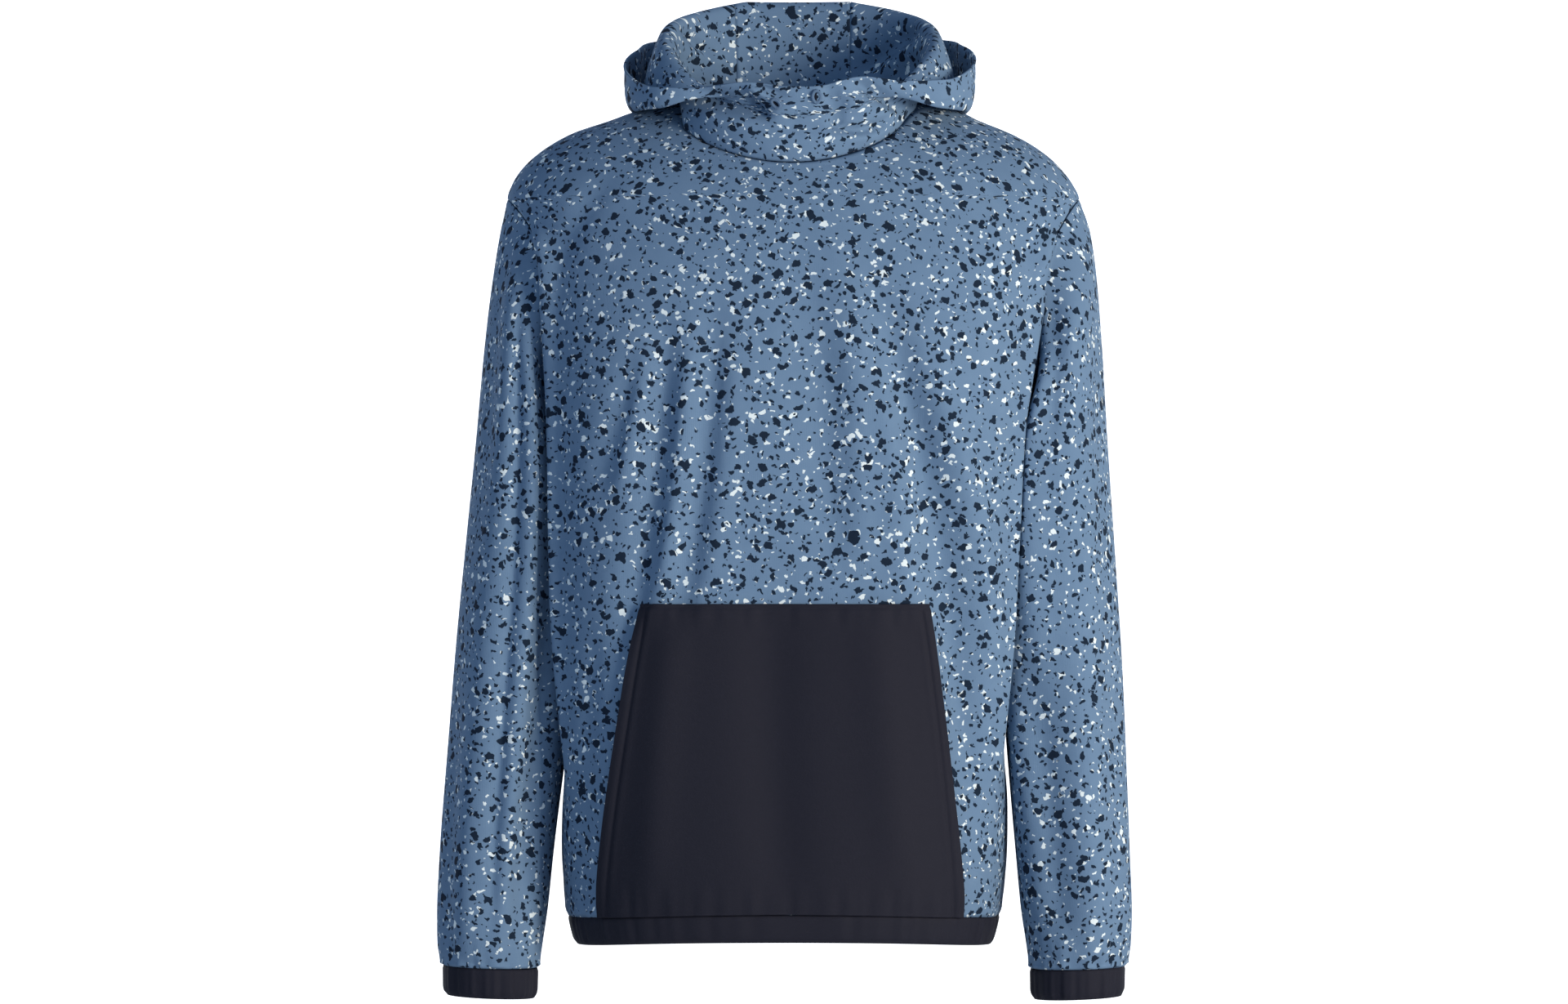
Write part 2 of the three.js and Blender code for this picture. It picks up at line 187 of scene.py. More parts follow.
sleeveFolds = {
    # here x is the angle round the arm from its outer side, z the row down it; 1 is the left sleeve
    1: [
        (2.0, 1.2, 2.02, 5.8, 0.3, 6, 0),
        (1.5, 0.8, 1.7, 3.2, 0.3, -4, 0),
        (2.1, 6.0, 1.95, 9.2, 0.34, -6, 0),
        (1.3, 6.4, 1.25, 10.2, 0.3, 3.5, 0),
        (0.55, 3.0, 0.75, 8.0, 0.25, -3, 0),
        (-1.3, 1.5, -1.6, 6.0, 0.28, -5, 0),
        (-0.7, 5.0, -1.0, 9.5, 0.3, -4, 0),
        (-2.2, 4.0, -2.0, 9.0, 0.3, 3.5, 0),
    ],
    -1: [
        (1.3, 2.4, 1.58, 8.4, 0.11, -4.5, 0),
        (1.0, 2.6, 1.15, 9.5, 0.26, 4, 0),
        (1.6, 2.6, 1.84, 8.6, 0.14, 3, 0),
        (2.1, 1.4, 2.2, 8.8, 0.26, -7, 0),
        (0.6, 1.0, 0.75, 4.2, 0.25, -3.5, 0),
        (0.5, 6.8, 0.72, 10.2, 0.22, -3.5, 0),
        (-1.2, 1.6, -1.5, 5.5, 0.28, -5, 0),
        (-0.8, 4.6, -1.1, 9.3, 0.3, -4, 0),
        (-2.1, 3.6, -1.95, 9.0, 0.3, 3.5, 0),
    ],
}
hoodFolds = [
    (-80, 11, -34, 0, 7.5, -12, 0),
    (-80, -6, -40, -14, 8, 3, 0),
    (-41, 17, -29, 8, 3, 6, 0),
    (-46, 9, -28, -6, 3.4, -7, 0),
    (-31, 18, -14, 10, 2.6, -4, 0),
    (22.4, 21, 22, -6, 1.9, -4.5, 0),
    (18.3, 21, 18.6, -4, 1.6, 2, 0),
    (29, 15, 33, -14, 3.8, -8.5, 0),
    (34, -15, 72, -11, 4.2, -9, 5),
    (38, -25, 78, -18, 5, 4, 4),
    (42, 6, 60, -5, 5.5, 4.5, 0),
    (54, 19, 90, 1, 5.5, -10.5, 0),
    (-8, -14, 22, -19, 6, -2.5, 0),
]
hoodInnerFolds = [
    (-97, 72, -75, 50, 4.5, -6, 0),
    (-96, 47, -54, 39, 2.6, -4, 0),
    (-89, 53, -51, 46, 2.2, 3, 0),
    (94, 70, 59, 42, 8, -9, 0),
    (100, 58, 74, 38, 6, 5, 0),
]
pocketFolds = [
    (-104, -428, -122, -640, 16, 4, 2),
    (62, -430, 84, -640, 20, 3.5, 0),
]


def leanX(z):
    return leanStations.read("z", "lean", z)


def foldLift(folds, x, z):
    lift = 0
    for x1, z1, x2, z2, width, height, bow in folds:
        dx, dz = x2 - x1, z2 - z1
        along = ((x - x1) * dx + (z - z1) * dz) / (dx * dx + dz * dz)
        across = ((x - x1) * dz - (z - z1) * dx) / math.hypot(dx, dz) - bow * (1 - (2 * along - 1) ** 2)
        ends = smooth(-0.35, 0.2, along) * (1 - smooth(0.8, 1.3, along))
        lift = lift + height * ends * np.exp(-(across / width) ** 2)
    return lift


def bodyPoint(angle, z, out=0):
    # angle 0 is the left side seam, pi/2 the middle of the front, -pi/2 the middle of the back
    angle, z = np.broadcast_arrays(np.asarray(angle, float), np.asarray(z, float))
    c, s = np.cos(angle), np.sin(angle)
    power = 2 / bodySections.read("z", "power", z)
    half = bodySections.read("z", "half", z)
    depth = np.where(s > 0, bodySections.read("z", "front", z), bodySections.read("z", "back", z))
    across = np.sign(c) * np.abs(c) ** power
    y = -np.sign(s) * depth * np.abs(s) ** power
    reach = np.abs(y - garment["armMiddle"] + np.where(c > 0, garment["armForward"], 0)) / garment["armReach"]
    pressed = bodySections.read("z", "pressed", z) * (1 - np.minimum(reach, 1) ** garment["pressPower"])
    x = across * half - np.sign(c) * pressed
    lift = np.where(s > 0, foldLift(frontFolds, x, z), foldLift(backFolds, x, z))
    lift = lift * smooth(0.25, 0.75, np.abs(s)) + out
    nx, ny = across / half, -np.sign(s) * np.abs(s) ** (2 - power) / depth
    size = np.hypot(nx, ny) + 1e-12
    return stack(x + nx / size * lift + leanX(z), y + ny / size * lift, z)


def bodySide(side, y, z):
    # how far out the body's side is at a depth and height, before its lean
    power = bodySections.read("z", "power", z)
    depth = np.where(y < 0, bodySections.read("z", "front", z), bodySections.read("z", "back", z))
    inside = np.clip(1 - np.abs(y / depth) ** power, 0, 1)
    forward = garment["armForward"] if side > 0 else 0
    reach = np.abs(y - garment["armMiddle"] + forward) / garment["armReach"]
    dent = bodySections.read("z", "pressed", z) * (1 - np.minimum(reach, 1) ** garment["pressPower"])
    return bodySections.read("z", "half", z) * inside ** (1 / power) - dent


# left and right are its heights; it runs ahead of the armhole seam, then straightens to a line of its own,
# and the pairs are the levels between which it does so, starts and ends
roll = {"left": 5.5, "right": 9, "width": 7.5, "ahead": 8, "leftLine": 78, "rightLine": 70,
        "straightens": (-154, -250), "starts": (-88, -118), "ends": (-590, -400), "inner": 130}


def sideRoll(x, y, z):
    # the front panel swells into a soft roll that lies over the armhole seam and along the arm
    side = np.where(x > 0, 1, -1)
    seamY = garment["armholeFront"] * np.sqrt(1 - np.clip((z - armholeMiddle) / armholeHalf, 0, 1) ** 2)
    lowLine = np.where(side > 0, roll["leftLine"], roll["rightLine"])
    line = blend(seamY + roll["ahead"], lowLine, smooth(*roll["straightens"], z))
    height = np.where(side > 0, roll["left"], roll["right"])
    height = height * smooth(*roll["starts"], z) * smooth(*roll["ends"], z)
    return height * np.exp(-((y + line) / roll["width"]) ** 2) * (np.abs(x) > roll["inner"])


def neckZ(angle):
    s = np.sin(angle)
    drop = np.where(s > 0, garment["neckFrontDrop"] * s**6, garment["neckBackDrop"] * np.abs(s) ** 3)
    return garment["neckSide"] - drop


def hemTopZ(angle):
    return blend(garment["hemTopSide"], garment["hemTopFront"], np.sin(angle) ** 2)


def armholeAngle(z, reach, facing):
    t = np.clip((z - armholeMiddle) / armholeHalf, -1, 1)
    y = reach * np.sqrt(1 - t * t)
    return np.arcsin((y / bodySections.read("z", facing, z)) ** (bodySections.read("z", "power", z) / 2))


def seamAngle(z, facing):
    share = garment["seamGap"] / 2 / bodySections.read("z", facing, z)
    return np.arcsin(share ** (bodySections.read("z", "power", z) / 2))


panelRows = {"side": 10, "armhole": 8, "shoulder": 3}
rowsUp = sum(panelRows.values())
underarmAt = panelRows["side"] / rowsUp
tipAt = 1 - panelRows["shoulder"] / rowsUp


def panelPoint(facing, u, v, out=0):
    # u runs from the left edge to the right, v from the hem to the neck
    tip, low, side = garment["shoulderTip"], garment["underarm"], garment["neckSide"]
    t = np.clip((v - underarmAt) / (tipAt - underarmAt), 0, 1)
    edgeZ = armholeMiddle - armholeHalf * np.cos(math.pi * t)
    edgeZ = np.where(v > tipAt, blend(tip, side, (v - tipAt) / (1 - tipAt)), edgeZ)
    reach = garment["armholeFront"] if facing == "front" else garment["armholeBack"]
    inArmhole = (v > underarmAt) & (v < tipAt)
    start = np.where(inArmhole, armholeAngle(np.clip(edgeZ, low, tip), reach, facing), 0)
    start = np.maximum(start, seamAngle(edgeZ, facing))
    turn = blend(start, math.pi - start, u)
    angle = turn if facing == "front" else -turn
    z = np.where(v < underarmAt, blend(hemTopZ(angle), low, v / underarmAt), edgeZ)
    z = np.where(v > tipAt, edgeZ - (side - neckZ(angle)) * (edgeZ - tip) / (side - tip), z)
    return bodyPoint(angle, z, out)


def layFlat(points):
    # unrolls a grid of points: lengths along its lines first, then passes that even out the slant
    picked, passes = 22, 200
    rows, columns = points.shape[:2]
    pickY = np.unique(np.linspace(0, rows - 1, min(rows, picked)).astype(int))
    pickX = np.unique(np.linspace(0, columns - 1, min(columns, picked)).astype(int))
    stepX = np.linalg.norm(np.diff(points, axis=1), axis=2)
    stepY = np.linalg.norm(np.diff(points, axis=0), axis=2)
    runX = np.concatenate([np.zeros((rows, 1)), np.cumsum(stepX, axis=1)], axis=1)
    runY = np.concatenate([np.zeros((1, columns)), np.cumsum(stepY, axis=0)], axis=0)
    runX -= runX[:, columns // 2][:, None]
    flat = np.stack([runX, runY], axis=-1)[pickY][:, pickX]
    solid = points[pickY][:, pickX]
    every, late, early = slice(None), slice(1, None), slice(None, -1)
    pairs = [((every, late), (every, early)), ((late, every), (early, every)),
             ((late, late), (early, early)), ((late, early), (early, late))]
    wants = [np.linalg.norm(solid[a] - solid[b], axis=-1, keepdims=True) for a, b in pairs]
    for _ in range(passes):
        move, count = np.zeros_like(flat), np.zeros(flat.shape[:2] + (1,))
        for (a, b), want in zip(pairs, wants):
            gap = flat[a] - flat[b]
            length = np.linalg.norm(gap, axis=-1, keepdims=True) + 1e-9
            push = gap / length * (want - length) / 2
            move[a] += push
            move[b] -= push
            count[a] += 1
            count[b] += 1
        flat += move / count
    tall = [[np.interp(runY[:, at], runY[pickY, at], flat[:, i, k]) for i, at in enumerate(pickX)]
            for k in (0, 1)]
    tall = np.array(tall).transpose(2, 1, 0)
    return np.array([[np.interp(runX[at], runX[at, pickX], tall[at, :, k]) for k in (0, 1)]
                     for at in range(rows)]).transpose(0, 2, 1)


def clothGrid(name, columns, rows, place, looped=False, wall=garment["wall"]):
    # a sheet laid over place(u, v), with a UV map in metres of flat cloth
    bm = bmesh.new()
    bmesh.ops.create_grid(bm, x_segments=columns, y_segments=rows, size=0.5)
    flat = np.array([v.co[:2] for v in bm.verts]) + 0.5
    points = place(flat[:, 0], flat[:, 1]) * mm
    order = np.lexsort((np.round(flat[:, 0] * columns), np.round(flat[:, 1] * rows)))
    cloth = np.zeros((len(order), 2))
    cloth[order] = layFlat(points[order].reshape(rows + 1, columns + 1, 3)).reshape(-1, 2)
    made = len(bpy.data.objects)
    cloth += (0.73 * made, 0.41 * made)  # each piece is cut elsewhere in the cloth
    layer = bm.loops.layers.uv.new("cloth")
    for vert, point, laid in zip(bm.verts, points, cloth):
        vert.co = point
        for loop in vert.link_loops:
            loop[layer].uv = laid
    if looped:
        bmesh.ops.remove_doubles(bm, verts=bm.verts, dist=0.02 * mm)
    return keep(name, bm, wall)


def keep(name, bm, wall=0):
    mesh = bpy.data.meshes.new(name)
    bm.to_mesh(mesh)
    bm.free()
    mesh.polygons.foreach_set("use_smooth", [True] * len(mesh.polygons))
    obj = bpy.data.objects.new(name, mesh)
    bpy.context.collection.objects.link(obj)
    if wall:
        thicken = obj.modifiers.new("wall", "SOLIDIFY")
        thicken.thickness = wall * mm
        thicken.offset = -1
    return obj


def armholePoint(side, around):
    # around 0 is the top of the loop, pi/2 its front, pi the underarm
    z = armholeMiddle + armholeHalf * np.cos(around)
    ahead = np.sin(around) > 0
    turn = np.where(ahead, armholeAngle(z, garment["armholeFront"], "front"),
                    armholeAngle(z, garment["armholeBack"], "back"))
    angle = turn if side > 0 else math.pi - turn
    return bodyPoint(np.where(ahead, angle, -angle), z)


sleeveSections = Table("row outerX outerZ innerX innerZ midY halfDepth", [
    [0, 242, -72, 202, -236, 3, 63],
    [1, 249, -98, 197, -254, 4, 66],
    [2, 255, -140, 187, -275, 5, 70],
    [3, 261, -200, 177, -308, 7, 74],
    [4, 267, -280, 172, -345, 8, 75],
    [5, 274, -365, 173, -405, 6, 72],
    [6, 281, -455, 180, -478, 0, 69],
    [7, 286, -540, 187, -550, -7, 65],
    [8, 290, -615, 194, -618, -14, 60],
    [9, 292, -670, 199, -670, -20, 55],
    [10, 291, -698, 203, -698, -22, 49],
    [11, 287, -716, 206, -718, -24, 42],
])
lastRing = 11
sleeveFull = {1: 1, -1: 0.15}  # how squarely the inner front of the left and the right arm lies by the body


def sleeveRing(side, row, around, out=0):
    c, s = np.cos(around), np.sin(around)
    section = {name: sleeveSections.read("row", name, row) for name in sleeveSections.columns}
    z = blend(section["innerZ"], section["outerZ"], (1 + c) / 2)
    x = blend(section["innerX"], section["outerX"], (1 + c) / 2)
    forward = garment["armForward"] * smooth(0, 2.5, row) if side > 0 else 0
    full = sleeveFull[side] * smooth(0.1, 1.2, row) * (1 - smooth(6.5, 9.5, row))
    full = np.where((s > 0) & (c < 0), full, 0)
    across = np.sign(s) * np.abs(s) ** (0.9 - 0.6 * full)
    y = section["midY"] - forward - (section["halfDepth"] + out) * across
    return stack(side * (x + out * c) + leanX(z), y, z)


def sleevePoint(side, around, t, out=0):
    # leaves the armhole across the seam's gap, settles into its own rings and keeps off the body's side
    point = sleeveRing(side, t * lastRing, around, out)
    settle = 1 - smooth(0, 2.2, t * lastRing)
    start = armholePoint(side, around) - sleeveRing(side, 0, around)
    start[..., 0] += side * garment["seamGap"]
    start[..., 2] -= garment["seamGap"] * np.abs(np.cos(around))
    point = point + start * settle[..., None]
    away = side * (point[..., 0] - leanX(point[..., 2]))
    nearest = bodySide(side, point[..., 1], point[..., 2]) + 1.2 * smooth(0, 0.4, t * lastRing)
    nearest = nearest + 0.8 * sideRoll(np.full_like(away, side * 200.0), point[..., 1], point[..., 2])
    point[..., 0] += side * np.where(np.cos(around) < 0, np.maximum(nearest - away, 0), 0)
    return point


def sleeveLift(side, around, t):
    wrapped = np.mod(around + math.pi, 2 * math.pi) - math.pi
    return foldLift(sleeveFolds[side], wrapped, t * lastRing)


cuff = {"seam": -717, "depth": 25, "tilt": 1.5, "start": 0.985, "taper": 0.02, "roll": 0.09,
        "columns": 176, "rows": 18, "gathers": (13, 22, 37), "drawn": 1.3, "tuck": 0.8}


def cuffPoint(side, around, t, out=0):
    edge = sleevePoint(side, around, np.ones_like(t))
    middle = (sleevePoint(side, np.zeros_like(t), np.ones_like(t))
              + sleevePoint(side, np.full_like(t, math.pi), np.ones_like(t))) / 2
    arm = edge - middle
    reach = np.linalg.norm(arm[..., :2], axis=-1)
    share = cuff["start"] - cuff["taper"] * t - cuff["roll"] * smooth(0.6, 1.15, t) ** 2 + out / reach
    point = middle + arm * share[..., None]
    point[..., 2] = cuff["seam"] + cuff["tilt"] * np.cos(around) - garment["seamGap"] - cuff["depth"] * t
    return point


def hemBandPoint(angle, t, out=0):
    z = hemTopZ(angle) - garment["seamGap"] - garment["hemBandDepth"] * t
    return bodyPoint(angle, z, -0.4 - 1.2 * t * t + out)


pocket = {"top": -412, "topHalf": 120, "bottomHalf": 151, "shift": -3.5, "standOff": 3.4,
          "columns": 130, "rows": 100, "sidePower": 1.35, "facing": 8,
          "gape": 1.5, "gapeWidth": 9, "sewnIn": 2.4, "stitch": (0.9, 1.3), "tuck": 0.7}


def pocketPoint(u, v, out=0):
    # u runs from the left corner to the right, v from the hem band up
    half = blend(pocket["bottomHalf"], pocket["topHalf"], v ** pocket["sidePower"])
    x = blend(half, -half, u) + pocket["shift"]
    share = x / bodySections.read("z", "half", blend(garment["hemTopFront"], pocket["top"], v))
    z = blend(hemTopZ(np.arccos(share)) + 0.2, pocket["top"], v)
    angle = np.arccos(np.sign(share) * np.abs(share) ** (bodySections.read("z", "power", z) / 2))
    return bodyPoint(angle, z, blend(pocket["sewnIn"], pocket["standOff"], smooth(0, 0.05, v)) + out)


hood = {"strip": 0.4 * math.pi, "axisY": 5, "side": 103, "front": 87, "back": 56, "power": 2.2,
        "fold": 7, "edgeLift": 6}
hoodStations = Table("turn standReach standZ grooveReach grooveZ edgeReach edgeZ wave", [
    [0, 11, -6, 14, 6, 16, 17, 0],
    [8, 11, -6, 14, 6, 16, 17, 0],
    [25, 11, 0, 14, 10, 17, 21, 0.1],
    [45, 11, 14, 21, 9, 23, 17, 0.35],
    [60, 12, 34, 38, 0, 40, 19, 0.75],
    [75, 13, 55, 43, -1, 46, 31, 1],
    [90, 9, 70, 41, 0, 45, 43, 1],
    [110, 8, 80, 41, -4, 43, 56, 1],
    [135, 15, 88, 74, -38, 62, 67, 1],
    [158, 23, 95, 92, -92, 74, 73, 1],
    [180, 30, 101, 96, -108, 80, 75, 1],
])


def through(route, t):
    # a smooth curve drawn by a list of (reach, height) points, evenly in t, from the first to the last
    route = np.concatenate([2 * route[:1] - route[1:2], route, 2 * route[-1:] - route[-2:-1]])
    count = len(route) - 3
    at = np.clip((t * count).astype(int), 0, count - 1)
    f = (t * count - at)[..., None]
    cells = np.arange(route.shape[1])
    a, b, c, d = (route[at + k, cells] for k in range(4))
    early = (1 - f) ** 3 * a + (3 * f**3 - 6 * f**2 + 4) * b
    return (early + (1 + 3 * f + 3 * f**2 - 3 * f**3) * c + f**3 * d) / 6


def hoodBase(seam):
    # the way that the cloth leans out of the neck seam, and the oval that its reach is measured from
    strip = bodyPoint(-hood["strip"], neckZ(-hood["strip"]))
    stripHeading = math.degrees(math.atan2(strip[0], hood["axisY"] - strip[1]))
    heading = np.degrees(np.arctan2(np.abs(seam[..., 0]), hood["axisY"] - seam[..., 1]))
    turn = np.minimum(180, np.where(heading < 90, heading, 90 + 90 * (heading - 90) / (stripHeading - 90)))
    heading = np.radians(np.minimum(heading, stripHeading))
    s, c, power = np.sin(heading), np.cos(heading), hood["power"]
    radius = ((s / hood["side"]) ** power
              + (np.abs(c) / np.where(c > 0, hood["front"], hood["back"])) ** power) ** (-1 / power)
    oval = stack(leanX(10) + np.sign(seam[..., 0]) * radius * s, hood["axisY"] - radius * c, 0)
    return turn, blend(oval, seam, smooth(150, 180, turn)[..., None])


def hoodPoint(angle, t, shift=0, lift=0):
    # angle is the body's own, t runs from the neck seam to the opening's edge
    seam = bodyPoint(angle, neckZ(angle))
    turn, base = hoodBase(seam)
    station = {name: hoodStations.read("turn", name, turn) for name in hoodStations.columns}
    standReach, standZ = station["standReach"], station["standZ"]
    grooveReach, grooveZ, wave = station["grooveReach"], station["grooveZ"], station["wave"]
    fold = hood["fold"] * wave
    raised = hood["edgeLift"] * smooth(5, 40, turn) * (1 - smooth(80, 160, turn))
    edgeZ = station["edgeZ"] + np.where(seam[..., 0] > 0, raised, 0)
    start = seam[..., 2] + garment["seamGap"]
    route = np.array([
        stack(0, start, 0),
        stack(0.5 * (standReach - fold) + 5 * (1 - wave), blend(start, standZ, 0.4), 0),
        stack(standReach - fold, standZ - 2 * fold, 0),
        stack(standReach - 0.6 * fold, standZ - 0.4 * fold, 0),
        stack(standReach + 0.3 * fold, standZ, 0),
        stack(standReach + fold, standZ - fold, 0),
        stack(blend(standReach + fold, grooveReach - 1.6 * fold, 0.6), blend(standZ, grooveZ + fold, 0.5), 0),
        stack(grooveReach - 1.6 * fold, grooveZ + fold, 0),
        stack(grooveReach - 0.7 * fold, grooveZ, 0),
        stack(grooveReach + 0.2 * fold, grooveZ + 0.5 * fold, 0),
        stack(blend(grooveReach, station["edgeReach"], 0.5) + 0.4 * fold, blend(grooveZ, edgeZ, 0.5), 0),
        stack(station["edgeReach"], edgeZ, 0),
    ])
    p = through(route, t)
    p[..., 0] += lift
    lean = np.radians(turn)
    foot = blend(seam, base, smooth(0, 0.2, t)[..., None])
    return stack(foot[..., 0] + np.sign(seam[..., 0]) * np.sin(lean) * p[..., 0] + shift,
                 foot[..., 1] - np.cos(lean) * p[..., 0], p[..., 1])


def ripple(angle, counts, start):
    # uneven gathers round a loop, between -1 and 1
    waves = [np.sin(count * angle + start * (k + 1) + 0.9 * np.sin((3 + k) * angle + start)) / (k + 1.4)
             for k, count in enumerate(counts)]
    return sum(waves) / sum(1 / (k + 1.4) for k in range(len(counts)))


def spread(value, edge):
    # moves evenly spaced values towards both ends, where the seams are
    return value - edge * np.sin(2 * math.pi * value) / (2 * math.pi)


def seamDip(distance, depth=1.2, width=2.4):
    # cloth draws in at a stitched seam and swells a little beside it
    swell = 0.4 * depth * np.exp(-((distance - 3 * width) / (1.6 * width)) ** 2)
    return swell - depth * np.exp(-(distance / width) ** 2)


# the lengths are rough ones, for the grooves along the seams; levels and reach are where gathers come in
panel = {"columns": 190, "rows": (126, 58, 28), "backColumns": 130, "backRows": (100, 48, 22),
         "width": 420, "sideSeam": 435, "shoulder": 90, "gathers": (29, 47, 61),
         "hemDrawn": 0.9, "hemLevels": (-636, -660), "pocketDrawn": 0.8, "pocketLevels": (-384, -406),
         "pocketReach": (132, 112)}


def hemDrawn(z):
    return panel["hemDrawn"] * smooth(*panel["hemLevels"], z)


def panelRipple(x):
    return ripple(x / 100, panel["gathers"], 0.6)


def panelPlace(facing, rows):
    total = sum(rows)

    def place(u, v):
        v = np.interp(v, [0, rows[0] / total, (rows[0] + rows[1]) / total, 1], [0, underarmAt, tipAt, 1])
        u = spread(u, 0.6)
        across = 1 - u if facing == "front" else u
        fromEdge = panel["width"] * np.minimum(u, 1 - u)
        dips = seamDip(fromEdge) + seamDip((1 - v) / (1 - tipAt) * panel["shoulder"])
        dips = dips + seamDip(v / underarmAt * panel["sideSeam"])
        x, y, z = np.moveaxis(panelPoint(facing, across, v), -1, 0)
        drawn = hemDrawn(z)  # small gathers over the hem band and behind the pocket
        if facing == "front":
            fromMiddle = np.abs(x - pocket["shift"])
            behind = smooth(*panel["pocketLevels"], z) * smooth(*panel["pocketReach"], fromMiddle)
            drawn = drawn + panel["pocketDrawn"] * behind
            dips = dips + sideRoll(x, y, z) * smooth(0, 7, fromEdge)
        return panelPoint(facing, across, v, dips + drawn * panelRipple(x))
    return place


front = clothGrid("frontBody", panel["columns"], sum(panel["rows"]), panelPlace("front", panel["rows"]))
back = clothGrid("backBody", panel["backColumns"], sum(panel["backRows"]),
                 panelPlace("back", panel["backRows"]))
print("body laid out")

sleeve = {"columns": 130, "rows": 160, "length": 640, "gathers": (9, 16, 25), "drawn": 0.9,
          "drawnAtCuff": 1.2}
sleeves, cuffs = {}, {}
for sideName, side in (("left", 1), ("right", -1)):
    def sleevePlace(u, v, side=side):
        t = spread(1 - v, 0.5)
        around = math.pi - side * 2 * math.pi * u
        dips = seamDip(sleeve["length"] * t) * smooth(0, 0.02, t) + seamDip(sleeve["length"] * (1 - t))
        drawn = ripple(around, sleeve["gathers"], 0.4 + side)
        gathered = sleeve["drawn"] * smooth(0.8, 0.93, t) + sleeve["drawnAtCuff"] * smooth(0.94, 0.985, t)
        dips += drawn * gathered * (1 - smooth(0.99, 1, t))
        return sleevePoint(side, around, t, dips + sleeveLift(side, around, t))

    def cuffPlace(u, v, side=side):
        around = math.pi - side * 2 * math.pi * u
        drawn = ripple(around, cuff["gathers"], 1.3 + side) * (1.1 - 0.5 * v) * smooth(0, 0.12, v)
        return cuffPoint(side, around, 1 - v, cuff["drawn"] * drawn - cuff["tuck"] * smooth(0.88, 1, v))

    sleeves[sideName] = clothGrid(sideName + "Sleeve", sleeve["columns"], sleeve["rows"], sleevePlace,
                                  looped=True)
    cuffs[sideName] = clothGrid(sideName + "Cuff", cuff["columns"], cuff["rows"], cuffPlace, looped=True,
                                wall=garment["wovenWall"])
print("sleeves and cuffs laid out")

hemBand = {"columns": 480, "rows": 16, "gathers": (41, 67, 89), "drawn": 0.7, "roll": 2.2, "tuck": 0.8}


def hemPlace(u, v):
    angle = -2 * math.pi * u - math.pi / 2
    drawn = hemBand["drawn"] * ripple(angle, hemBand["gathers"], 0.7) * smooth(0, 0.2, v)
    rolled = hemBand["roll"] * smooth(0.25, -0.1, v) ** 2 + hemBand["tuck"] * smooth(0.88, 1, v)
    return hemBandPoint(angle, 1 - v, drawn - rolled)


hem = clothGrid("hemBand", hemBand["columns"], hemBand["rows"], hemPlace, looped=True,
                wall=garment["wovenWall"])


def pouchPlace(u, v):
    # the two slanted edges are the openings: they stand away a little, with stitches inside the edge
    u, v = spread(u, 0.82), spread(v, 0.6)
    x, y, z = np.moveaxis(pocketPoint(1 - u, v), -1, 0)
    inside = np.minimum(u, 1 - u) * 2 * blend(pocket["bottomHalf"], pocket["topHalf"], v)
    below = (1 - v) * (pocket["top"] - garment["hemTopFront"])
    gape = pocket["gape"] * np.exp(-(inside / pocket["gapeWidth"]) ** 2)
    gape = gape * smooth(0, 30, below) * smooth(0, 0.12, v)
    sewn = seamDip(np.abs(inside - pocket["facing"]), *pocket["stitch"]) * smooth(0, 8, below)
    sewn = sewn + seamDip(np.abs(below - 2), *pocket["stitch"])
    drawn = pocket["tuck"] * (1 - smooth(4, 26, below)) * smooth(0, 5, below)
    drawn = (drawn + hemDrawn(z)) * panelRipple(x)  # at the hem, as the front under it
    return pocketPoint(1 - u, v, gape + sewn + drawn + foldLift(pocketFolds, x, z) * smooth(0, 0.1, v))


pouch = clothGrid("kangarooPocket", pocket["columns"], pocket["rows"], pouchPlace, wall=garment["wovenWall"])
print("hem band and pocket laid out")

hoodGrid = {"columns": 300, "rows": 116, "centreColumns": 36, "centreRows": 116}
casing = {"depth": 18, "bead": 0.9, "beadWidth": 2.2, "stitch": 0.9, "stitchWidth": 1.3}
eyelets = (
    # x, z, half width, half height, slant
    (13.9, 9.0, 3.5, 4.8, 0.1),
    (-19.2, 3.2, 4.4, 2.7, -0.65),
)


def hoodRelief(angle, t):
    # folds of the hood's front and of its stand's inside, the casing's stitched line and its rounded edge
    point = hoodPoint(angle, t)
    x, y, z = np.moveaxis(point, -1, 0)
    away = np.linalg.norm(hoodPoint(angle, np.ones_like(t)) - point, axis=-1)
    lift = foldLift(hoodFolds, x, z) * smooth(-30, -62, y) * smooth(0, 0.12, t)
    inner = foldLift(hoodInnerFolds, x, z) * smooth(0, 25, y)
    lift = lift - inner * smooth(0.45, 0.3, t) * smooth(0, 0.06, t)
    rim = casing["bead"] * np.exp(-(away / casing["beadWidth"]) ** 2)
    rim = rim - casing["stitch"] * np.exp(-((away - casing["depth"]) / casing["stitchWidth"]) ** 2)
    return lift + rim * smooth(0.55, 0.65, t)


def hoodSidesPlace(u, v):
    u, v = spread(u, 0.2), v + 0.3 * v * (1 - v)
    angle = blend(math.pi + hood["strip"], -hood["strip"], u)
    ends = np.where(u < 0.5, -1, 1) * np.where((u < 1e-6) | (u > 1 - 1e-6), garment["seamGap"] / 2, 0)
    return hoodPoint(angle, v, ends, hoodRelief(angle, v))


def hoodCentrePlace(u, v):
    v = v + 0.3 * v * (1 - v)
    angle = blend(-hood["strip"], hood["strip"] - math.pi, u)
    return hoodPoint(angle, v, blend(-1, 1, u) * garment["seamGap"] / 2, hoodRelief(angle, v))


hoodSides = clothGrid("hoodSides", hoodGrid["columns"], hoodGrid["rows"], hoodSidesPlace)
hoodCentre = clothGrid("hoodCentre", hoodGrid["centreColumns"], hoodGrid["centreRows"], hoodCentrePlace)
print("hood laid out")


